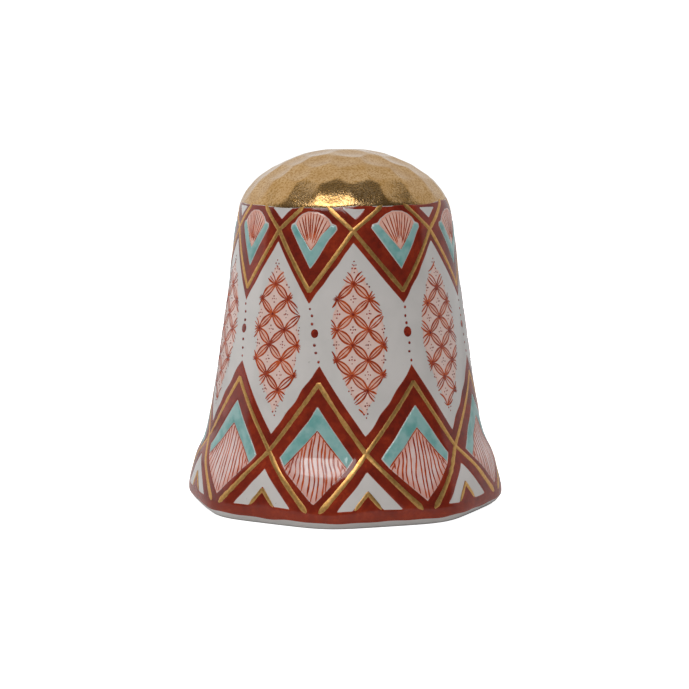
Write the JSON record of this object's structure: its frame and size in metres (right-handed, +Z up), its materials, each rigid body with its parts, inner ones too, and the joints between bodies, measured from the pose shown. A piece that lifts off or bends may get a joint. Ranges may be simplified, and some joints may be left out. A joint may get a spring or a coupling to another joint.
{
  "type": "thimble",
  "caption": "Porcelain sewing thimble: conical fingertip shell with a dimpled gilded dome, a flared soft-cornered foot, and painted red, turquoise, salmon and gold zigzag bands.",
  "frame": {"origin": "centre of the foot, in the plane the thimble stands on", "axes": "+Z up the finger's axis to the top of the dome, -Y towards the side the viewer faces, +X to the viewer's right"},
  "size_m": [0.0253, 0.0252, 0.028],
  "materials": {
    "porcelain": "glossy clear glaze over white porcelain",
    "sponged_gold": "fired gold, sponged on, bright",
    "iron_red": "iron-red overglaze enamel, glossy",
    "turquoise_enamel": "raised translucent turquoise enamel, glossy",
    "salmon_wash": "thin salmon wash, glossy",
    "gold_line": "burnished gold line, raised"
  },
  "bodies": {
    "root": {"porcelain_body": "porcelain", "gilt_dome": "sponged_gold", "upper_red_band": "iron_red", "lower_red_band": "iron_red", "upper_turquoise_chevrons": "turquoise_enamel", "lower_turquoise_chevrons": "turquoise_enamel", "fan_grounds": "salmon_wash", "kite_grounds": "salmon_wash", "oval_panels": "salmon_wash", "bead_strings": "iron_red", "upper_gold_lines": "gold_line", "lower_gold_lines": "gold_line", "foot_gold_chevrons": "gold_line"}
  },
  "joints": []
}
